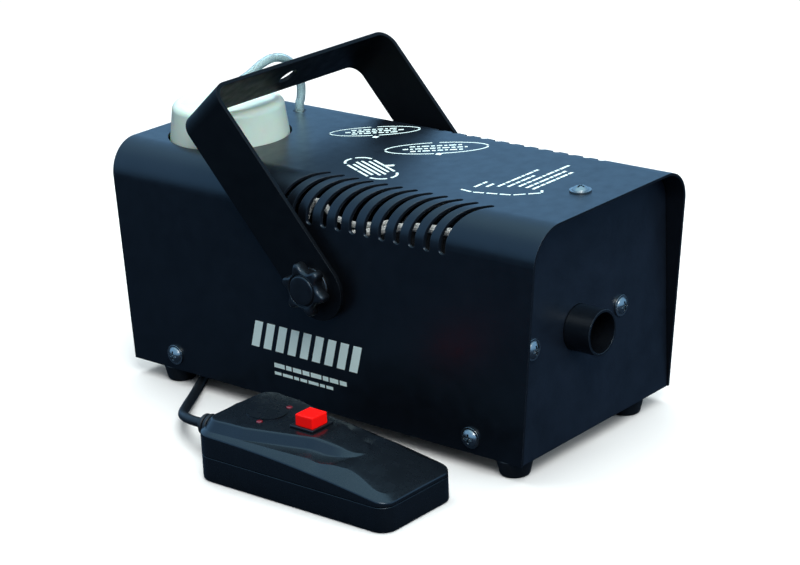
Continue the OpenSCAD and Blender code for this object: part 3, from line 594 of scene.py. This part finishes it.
def make_knob(name, side):
    """A star knob with rounded lobes, a groove round its centre disc, and a bore for the stud."""
    count, floor_r = 240, 8.2   # points round the outline, and the least radius of its bites
    sharp = [star_radius(2 * math.pi * k / count) for k in range(count)]
    outline = [sum(sharp[(k + j) % count] for j in range(-3, 4)) / 7 for k in range(count)]
    # Each ring is (radius, height); on the rim, the radius is counted inwards from the outline
    under = [(0.0, 5.0), (2.95, 5.0), (2.95, 0.3), (3.25, 0.0), (7.6, 0.0), (8.0, 0.3), (8.0, 1.3)]
    rim = [(1.6, 1.35), (0.5, 1.6), (0.0, 2.2), (0.0, 5.7), (0.2, 6.3), (0.6, 6.8), (1.1, 7.08),
           (1.9, 7.2)]
    face = [(8.0, 7.2), (7.8, 7.1), (7.65, 6.6), (7.35, 6.45), (7.05, 6.6), (6.95, 7.35),
            (6.75, 7.6), (6.3, 7.72), (4.0, 7.76), (0.0, KNOB_TOP)]
    points, faces = [], []
    for k in range(count):
        a = 2 * math.pi * k / count
        star = [(max(outline[k] - inset, floor_r), height) for inset, height in rim]
        for r, height in under + star + face:
            points.append((side * (KNOB_SEAT + height), PIVOT.y + r * math.sin(a),
                           PIVOT.z - r * math.cos(a)))
    n = len(points) // count
    for k in range(count):
        m = (k + 1) % count
        for j in range(n - 1):
            faces.append([k * n + j, k * n + j + 1, m * n + j + 1, m * n + j])
    mesh = mesh_from(name + "_star", points, faces)
    slot = "black_plastic"
    knob = add_piece(name + "_star", mesh, name, MATERIALS[slot], 40)
    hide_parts(name)


make_cap()
make_hose()
make_spring()
make_knob("left_knob", -1)
make_knob("right_knob", 1)


# ---------------------------------------------------------------- hand remote

# The remote's pieces are drawn along Y, with its nose towards -Y
WALL = 2.0
HALF_POINTS = 110
SPINE = (REMOTE_NOSE + 25, REMOTE_REAR - 21)    # the ends of the line that sections are drawn to
TONGUE_START = -19.0                            # the raised middle narrows from here to the nose


def remote_outline():
    """Plan outline of the remote, the same points on each side, from the middle of its nose. It is
    the hull of a circle in each corner and one in the middle of the rear."""
    rear_half, rear_r = 25.2, 9.0
    nose_half, nose_r = 23.5, 7.0
    hump_r = 12.0
    circles = [(Vector((rear_half - rear_r, REMOTE_REAR - rear_r - 2)), rear_r),
               (Vector((nose_half - nose_r, REMOTE_NOSE + nose_r)), nose_r),
               (Vector((0, REMOTE_REAR - hump_r)), hump_r)]
    half = [Vector((0, REMOTE_NOSE))]
    for k in range(-90, 91):
        way = Vector((math.cos(math.radians(k)), math.sin(math.radians(k))))
        centre, r = max(circles, key=lambda c: c[0].dot(way) + c[1])
        half.append(centre + way * r)
    lengths = [(b - a).length for a, b in zip(half, half[1:])]
    step = sum(lengths) / HALF_POINTS
    even, walked, i = [half[0]], 0.0, 0
    for k in range(1, HALF_POINTS):
        while walked + lengths[i] < k * step:
            walked += lengths[i]
            i += 1
        even.append(half[i].lerp(half[i + 1], (k * step - walked) / lengths[i]))
    even.append(half[-1])
    return even + [Vector((-p.x, p.y)) for p in reversed(even[1:-1])]


def plateau(y):
    """Height of the remote's top: flat round the button, and falling away to the nose."""
    flat_end, length, drop = BUTTON.y - 10, 48, 12.8
    return PLATEAU_Z - drop * max(0.0, (flat_end - y) / length) ** 1.1


def loft(name, section):
    """A shell with a cross-section drawn inwards from each point of the plan outline.
    section(point, inward direction, reach) gives it as (distance in, height) points."""
    outline = remote_outline()
    points, faces = [], []
    for p in outline:
        spine = Vector((0, min(max(p.y, SPINE[0]), SPINE[1])))
        reach = (spine - p).length
        inward = (spine - p) / reach
        profile = section(p, inward, reach)
        for d, z in profile:
            q = spine if d >= reach - 1e-6 else p + inward * d
            points.append((REMOTE_X + q.x, q.y, z))
    n = len(points) // len(outline)
    for k in range(len(outline)):
        m = (k + 1) % len(outline)
        for j in range(n - 1):
            faces.append([k * n + j, k * n + j + 1, m * n + j + 1, m * n + j])
    return mesh_from(name, points, faces)


def tongue_width(y):
    """Half width of the raised middle, which narrows to a round tip before the nose."""
    wide, tip, tip_r, tip_length = 19.4, -66.0, 6.4, 9
    if y > tip:
        return wide - (wide - tip_r) * (TONGUE_START - y) / (TONGUE_START - tip)
    return tip_r * math.sqrt(max(0.0, 1 - ((tip - y) / tip_length) ** 2))


def tongue_lift(y):
    """How far the raised middle stands above the ledge round it; it rises from nothing at foot."""
    lift, foot, length = 4.6, -78, 18
    t = min(1.0, max(0.0, (y - foot) / length))
    return lift * t * t * (3 - 2 * t)


def top_section(p, inward, reach):
    """Wall, light band, dark ledge, second band and raised middle, then the same again inside."""
    u = max(0.0, -p.y)
    side = inward.x ** 2        # 1 along the sides, 0 at the nose and the rear
    wall_z = 22 - 8 * (u / 103) ** 1.87
    band = min(1.8 * (1 - side) + side * (2.4 + 5.8 * (u / 84) ** 1.9), reach * 0.4)
    rise = 5.5 if p.y > TONGUE_START else reach - tongue_width(p.y)
    rise = min(max(rise, band + 3.2), reach)
    ledge = rise - 3 if rise < reach - 1e-6 else reach * 0.9

    def top(d):
        return plateau(p.y + inward.y * d)

    def low(d):
        return top(d) - tongue_lift(p.y + inward.y * d)

    band_z = min(wall_z + 0.62 * band, low(ledge) - 0.1, top(band) - 0.15)
    short = low(band) - band_z
    flat = [(band + (ledge - band) * f, low(band + (ledge - band) * f) - short * (1 - f))
            for f in (0.25, 0.5, 0.75, 1.0)]
    inner = [rise + (reach - rise) * f for f in (0.3, 0.65, 1.0)]
    outside = rounded([(0.12, SEAM_Z + 0.18), (0, SEAM_Z + 0.3), (0, wall_z), (band, band_z),
                       *flat, (rise, top(rise)), (inner[0], top(inner[0]))],
                      [0, 0, 1.0, 0.8, 0, 0, 0, 1.2, 1.6, 0])
    outside += [Vector((d, top(d))) for d in inner[1:]]
    drop = WALL + 0.3
    inside = [(WALL, SEAM_Z + 0.18), (WALL, wall_z - drop), (band + 0.6, band_z - drop)]
    inside += [(d, z - drop) for d, z in flat] + [(rise, top(rise) - drop)]
    inside += [(d, top(d) - drop) for d in inner]
    return [tuple(v) for v in reversed(outside)] + inside


def base_section(p, inward, reach):
    """Flat bottom, rounded lower edge, short wall, and a lip that closes the seam from behind."""
    outside = rounded([(reach, 0), (0, 0), (0, SEAM_Z - 0.3), (0.12, SEAM_Z - 0.18)],
                      [0, 1.4, 0, 0], 6)
    inside = [(0.9, SEAM_Z - 0.18), (0.9, SEAM_Z + 0.12), (WALL, SEAM_Z + 0.12), (WALL, 3.6),
              (WALL + 2, WALL), (reach, WALL)]
    return [tuple(v) for v in outside] + inside


def cylinder(x, y, z0, z1, r):
    """A mesh that stands on z0 and ends at z1."""
    return lathe_mesh("cylinder", [(0, z0), (r, z0), (r, z1), (0, z1)], (x, y, 0), (0, 0, 1), 48)


def square(x, y, half):
    """An outline about a centre."""
    return [(x + a * half, y + b * half) for a, b in ((-1, -1), (1, -1), (1, 1), (-1, 1))]


def stadium(x, y0, y1, r, count=16):
    """An outline from y0 to y1 with two half-round ends."""
    ends = []
    for y, start in ((y1 - r, 0.0), (y0 + r, math.pi)):
        turns = [start + math.pi * k / count for k in range(count + 1)]
        ends += [(x + r * math.cos(a), y + r * math.sin(a)) for a in turns]
    return ends


def make_remote():
    """The upper shell, with a raised pad and holes for the button, lights and cable, and the lower
    shell, with bosses for its two screws."""
    screw_low, screw_high = (v.y for v in box_mm("remote_screws"))
    head_r = 2.8
    screws = [screw_low + head_r, screw_high - head_r]
    pad = prism_mesh("pad", [stadium(REMOTE_X, LIGHT.y - 5, LIGHT.y + 14, 8.2)], PLATEAU_Z - 1,
                     PLATEAU_Z + 0.55)
    holes = [prism_mesh("hole", [square(REMOTE_X, BUTTON.y, 5.3)], 18, 34)]
    holes += [cylinder(REMOTE_X + s * LIGHT_DX, LIGHT.y, 18, 34, LIGHT_R + 0.2) for s in (-1, 1)]
    holes.append(lathe_mesh("hole", [(0, 0), (5.1, 0), (5.1, 12), (0, 12)],
                            (REMOTE_X, 0, RELIEF.z), (0, 1, 0), 64))
    shell = carve(loft("remote_shell", top_section), [pad], "UNION")
    shell = carve(shell, holes)
    slot = "gloss_black_plastic"
    top = add_piece("remote_upper_shell", shell, "machine", MATERIALS[slot], 28)
    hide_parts("remote_top")

    bosses = [cylinder(REMOTE_X, y, 1, 11.9, 3.2) for y in screws]
    tray = carve(loft("remote_tray", base_section), bosses, "UNION")
    cuts = [cylinder(REMOTE_X, y, -1, 1.6, 3.0) for y in screws]
    cuts += [cylinder(REMOTE_X, y, -1, 11, 1.5) for y in screws]
    base = add_piece("remote_lower_shell", carve(tray, cuts), "machine", MATERIALS[slot], 28)
    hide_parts("remote_base")


def make_strain_relief():
    """A rubber sleeve with a flange at the shell and rings that get smaller along the cable."""
    start, end = (v.y for v in box_mm("strain_relief"))
    profile = [(0, 0), (4.7, 0), (5, 0.3), (5, 5.3), (6.6, 5.3), (7, 5.7), (7, 6.6), (6.6, 7),
               (4.1, 7.3)]
    for i in range(4):
        r, core, low = 6.6 - i * 0.5, 4.1 - i * 0.12, 8.2 + i * 3
        profile += [(core, low), (r - 0.35, low), (r, low + 0.35), (r, low + 1.45),
                    (r - 0.35, low + 1.8), (core, low + 1.85)]
    profile += [(3.5, end - start - 0.4), (3.1, end - start), (0, end - start)]
    sleeve = lathe("strain_sleeve", profile, (REMOTE_X, start, RELIEF.z), (0, 1, 0), "machine",
                   "black_rubber", 64)
    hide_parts("strain_relief")


def make_cable():
    """The remote's cable, from its plug at the rear panel to the remote."""
    plug = middle("remote_plug")
    end = box_mm("remote_plug")[1].y
    knots = [(plug.x, end + 0.5, plug.z), (plug.x, end + 2, plug.z), (35.4, 151.4, 19.5),
             (33.5, 150, 10), (29.5, 141, 4.2), (22, 129, 2.7), (8, 116, 2.7), (-11, 104.5, 2.7),
             (-31, 92.2, 2.7), (-52, 79.4, 2.7), (-67, 70, 3), (-83, 59.6, 4.4),
             (-95.5, 49.4, 7.6), (-103.6, 40, 10.8), (-107.8, 31.5, 12.6),
             (REMOTE_X, 25.5, RELIEF.z), (REMOTE_X, 23.5, RELIEF.z)]
    cable = tube("remote_cord", curve_points(knots), 2.3, "machine", "black_rubber", 28)
    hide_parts("remote_cable")


make_remote()
make_strain_relief()
make_cable()


# ---------------------------------------------------------------- printed marks

INK_T = 0.05        # how far the ink stands above the cover
INK_ROOT = 0.02     # how far it goes into it


def oval_band(x, y, rx, ry, width, start, end):
    """A band along an ellipse between two angles in degrees."""
    steps = max(2, int(abs(end - start) / 4))
    out = []
    for half, first, last in ((width / 2, start, end), (-width / 2, end, start)):
        for k in range(steps + 1):
            a = math.radians(first + (last - first) * k / steps)
            out.append((x + (rx + half) * math.cos(a), y + (ry + half) * math.sin(a)))
    return out


def bar(x, y, length, width, turn=0.0):
    """A straight bar about a centre, turned by degrees."""
    c, s = math.cos(math.radians(turn)), math.sin(math.radians(turn))
    corners = ((-1, -1), (1, -1), (1, 1), (-1, 1))
    return [(x + a * length / 2 * c - b * width / 2 * s,
             y + a * length / 2 * s + b * width / 2 * c) for a, b in corners]


def dashes(x0, x1, y, width, pattern):
    """A row of bars along X whose lengths repeat a pattern, with equal gaps."""
    gap = 0.9
    out, x, k = [], x0, 0
    while x + pattern[k % len(pattern)] <= x1:
        length = pattern[k % len(pattern)]
        out.append(bar(x + length / 2, y, length, width))
        x += length + gap
        k += 1
    return out


def dashed_path(points, width, dash, space):
    """Bars along a path of straight stretches."""
    out = []
    for (ax, ay), (bx, by) in zip(points, points[1:]):
        length, turn = math.dist((ax, ay), (bx, by)), math.degrees(math.atan2(by - ay, bx - ax))
        count = max(1, round(length / (dash + space)))
        for k in range(count):
            t = (k + 0.5) / count
            x, y = ax + (bx - ax) * t, ay + (by - ay) * t
            out.append(bar(x, y, length / count - space, width, turn))
    return out


def print_marks(name, outlines, place):
    """One piece of ink, as a thin layer on the face that place points at."""
    mesh = prism_mesh(name, outlines, -INK_ROOT, INK_T, place)
    add_piece(name, mesh, "machine", INK, 0)


def make_marks():
    """Plain marks: rings, dashes and diamonds on top, slanted bars and dashes on the near side.
    There is no lettering."""
    top = Matrix.Translation((0, 0, TOP_Z))
    for name, x, y, rx, ry, angle in (("ring_mark_rear", 25.5, 27.9, 21.7, 7.3, -47),
                                      ("ring_mark_front", 18.7, -15.8, 24.2, 9.0, -48.7)):
        turn = top @ Matrix.Translation((x, y, 0)) @ Matrix.Rotation(math.radians(angle), 4, "Z")
        shapes = [oval_band(0, 0, rx, ry, 0.9, a, a + 82) for a in (4, 94, 184, 274)]
        for row, reach in ((-1, 0.52), (0, 0.66), (1, 0.52)):
            shapes += dashes(-rx * reach, rx * reach, row * ry * 0.42, 1.5, (2.6, 1.4, 3.4, 1.8))
        print_marks(name, shapes, turn)
    diamonds = [bar(17.9, 21.1, 2.6, 2.6, 10), bar(11.7, -22.8, 2.8, 2.8, 10)]
    print_marks("diamond_marks", diamonds, top)

    turn = Matrix.Translation((-22.5, -10.3, TOP_Z)) @ Matrix.Rotation(math.radians(66), 4, "Z")
    reach, r = 12, 6.8
    shapes = [oval_band(-reach * s, 0, r, r, 1.2, a, a + 72)
              for s, a in ((1, 100), (1, 188), (-1, 280), (-1, 8))]
    shapes += [bar(x, s * r, 10, 1.2) for s in (-1, 1) for x in (-5.6, 5.6)]
    shapes += [bar(0, y, length, 1.2)
               for y, length in ((-4, 20), (-1.35, 25), (1.35, 25), (4, 20))]
    print_marks("oval_mark", shapes, turn)
    print_marks("oval_mark_dot", [bar(-15, -14.8, 5, 2.2, -50)], top)

    shapes = []
    for y, x0, x1 in ((-68.6, -20, -4), (-73, -17, -9), (-77, -14, 22), (-81, -12, 10),
                      (-85, -9, 30), (-89, -9, 27), (-92.6, -9, 22)):
        shapes += dashes(x0, x1, y, 1.3, (5.2, 3.0, 6.8, 2.2))
    border = [(-25.8, -65), (-26.5, -72.2), (-20.6, -89.9), (-11.2, -99.3), (-7.7, -96.7)]
    shapes += dashed_path(border, 1.1, 4.6, 1.2)
    print_marks("row_marks", shapes, top)

    # On the near side, u runs towards the nozzle, v up, and the print faces away from the cover
    side = Matrix(((0, 0, -1, -SIDE_X), (-1, 0, 0, 0), (0, 1, 0, 0), (0, 0, 0, 1)))
    width, slant, low, high = 4.9, 3.6, 31.6, 44.8
    shapes = []
    for k in range(9):
        u = -39 + k * 7.6
        shapes.append([(u, low), (u + width, low), (u + width + slant, high), (u + slant, high)])
    print_marks("side_bars", shapes, side)
    print_marks("side_dashes", dashes(-25, 21, 24.6, 2.2, (6.5, 3.4, 5.2, 4.2))
                + dashes(-25, 12, 20.6, 1.5, (4.2, 6.2, 3.0)), side)


make_marks()


# ---------------------------------------------------------------- stage, light, camera

def world_light():
    """White behind the object, a cool sky that only reflections see, and a plain soft fill."""
    world = bpy.context.scene.world or bpy.data.worlds.new("studio")
    bpy.context.scene.world = world
    world.use_nodes = True
    tree = world.node_tree
    tree.nodes.clear()
    coord = tree.nodes.new("ShaderNodeTexCoord")
    split = tree.nodes.new("ShaderNodeSeparateXYZ")
    link(tree, coord.outputs["Generated"], split.inputs[0])
    sky = ramp(tree, split.outputs["Z"], [(0.0, (0.16, 0.34, 0.56)), (0.34, (0.2, 0.41, 0.68)),
                                          (0.68, (0.2, 0.4, 0.64)), (0.85, (0.4, 0.7, 0.9))])
    path = tree.nodes.new("ShaderNodeLightPath")
    backgrounds = []
    for colour, strength in ((sky, 2.0), ((0.9, 0.97, 1.0), 0.34), ((1.0, 1.0, 1.0), 1.0)):
        node = tree.nodes.new("ShaderNodeBackground")
        if isinstance(colour, tuple):
            node.inputs["Color"].default_value = (*colour, 1)
        else:
            link(tree, colour, node.inputs["Color"])
        node.inputs["Strength"].default_value = strength
        backgrounds.append(node.outputs[0])
    cool, fill, white = backgrounds
    reflected = tree.nodes.new("ShaderNodeMixShader")
    link(tree, path.outputs["Is Glossy Ray"], reflected.inputs[0])
    link(tree, fill, reflected.inputs[1])
    link(tree, cool, reflected.inputs[2])
    seen = tree.nodes.new("ShaderNodeMixShader")
    link(tree, path.outputs["Is Camera Ray"], seen.inputs[0])
    link(tree, reflected.outputs[0], seen.inputs[1])
    link(tree, white, seen.inputs[2])
    out = tree.nodes.new("ShaderNodeOutputWorld")
    link(tree, seen.outputs[0], out.inputs["Surface"])


def make_floor():
    """A floor that is pale to the camera, and a dim blue in reflections and bounced light."""
    mat, tree, bsdf = node_material("floor")
    pale = ramp(tree, noise(tree, 0.004, 2.0),
                [(0.3, (0.86, 0.87, 0.885)), (0.7, (0.88, 0.89, 0.9))])
    path = tree.nodes.new("ShaderNodeLightPath")
    dim = (0.018, 0.035, 0.065)
    link(tree, mix(tree, path.outputs["Is Camera Ray"], dim, pale), bsdf.inputs["Base Color"])
    bsdf.inputs["Roughness"].default_value = 0.9
    bsdf.inputs["Specular IOR Level"].default_value = 0.1

    # Beyond the lamps' reach the floor stays as pale to the camera as it is round the object
    geometry = tree.nodes.new("ShaderNodeNewGeometry")
    distance = tree.nodes.new("ShaderNodeVectorMath")
    distance.operation = "LENGTH"
    link(tree, geometry.outputs["Position"], distance.inputs[0])
    far = ramp(tree, distance.outputs["Value"], [(0.45, 0.0), (1.0, 1.0)])
    seen_far = tree.nodes.new("ShaderNodeMath")
    seen_far.operation = "MULTIPLY"
    link(tree, far, seen_far.inputs[0])
    link(tree, path.outputs["Is Camera Ray"], seen_far.inputs[1])
    glow = tree.nodes.new("ShaderNodeEmission")
    blend = tree.nodes.new("ShaderNodeMixShader")
    link(tree, seen_far.outputs[0], blend.inputs[0])
    link(tree, bsdf.outputs[0], blend.inputs[1])
    link(tree, glow.outputs[0], blend.inputs[2])
    link(tree, blend.outputs[0], tree.nodes["Material Output"].inputs["Surface"])

    mesh = bpy.data.meshes.new("floor")
    reach, level = 6.0, -0.0001     # in metres; just under the ground, clear of the feet
    mesh.from_pydata([(x, y, level) for x, y in square(0, 0, reach)], [], [(0, 1, 2, 3)])
    mesh.materials.append(mat)
    floor = bpy.data.objects.new("floor", mesh)
    bpy.context.scene.collection.objects.link(floor)


def make_lamps():
    """Soft boxes. Only the key shows in reflections; the sky gives the rest of them."""
    for name, place, aim, size, power, colour in (
            ("key", (-0.9, -1.1, 1.5), (0, 0, 0.05), (0.9, 0.9), 24, (1.0, 1.0, 0.97)),
            ("over", (0.2, 0.1, 1.5), (0, 0, 0), (1.6, 1.2), 26, (0.95, 1.0, 0.98)),
            ("back", (1.25, 1.15, 0.62), (0, 0, 0.1), (1.5, 0.7), 10, (0.85, 0.97, 1.0)),
            ("front", (0.35, -1.5, 0.55), (0, -0.1, 0.08), (0.8, 0.6), 6, (0.9, 0.97, 1.0))):
        data = bpy.data.lights.new(name, "AREA")
        data.shape = "RECTANGLE"
        data.size, data.size_y = size
        data.energy = power
        data.color = colour
        lamp = bpy.data.objects.new(name, data)
        lamp.location = place
        lamp.rotation_euler = (Vector(aim) - Vector(place)).to_track_quat("-Z", "Y").to_euler()
        lamp.visible_glossy = name == "key"
        bpy.context.scene.collection.objects.link(lamp)


def make_camera():
    """The camera, as solved from the edges of the body in the photo: azimuth, elevation and roll
    in degrees, and its place in millimetres from HOME."""
    azimuth, elevation, roll = (math.radians(v) for v in (-49.454, 19.476, -2.544))
    place = Vector((-829.87, -715.43, 440.45))
    right = Vector((math.cos(azimuth), math.sin(azimuth), 0))
    ahead = Vector((-math.sin(azimuth), math.cos(azimuth), 0))
    back = -ahead * math.cos(elevation) + Vector((0, 0, math.sin(elevation)))
    up = back.cross(right)
    x_axis = math.cos(roll) * right + math.sin(roll) * up
    y_axis = -math.sin(roll) * right + math.cos(roll) * up
    data = bpy.data.cameras.new("camera")
    data.sensor_width = 36
    data.lens = 109.9
    camera = bpy.data.objects.new("camera", data)
    turn = Matrix((x_axis, y_axis, back)).transposed().to_4x4()
    camera.matrix_world = Matrix.Translation((place + HOME) * MM) @ turn
    bpy.context.scene.collection.objects.link(camera)
    bpy.context.scene.camera = camera
    bpy.context.scene.view_settings.view_transform = "Standard"


world_light()
make_floor()
make_lamps()
make_camera()
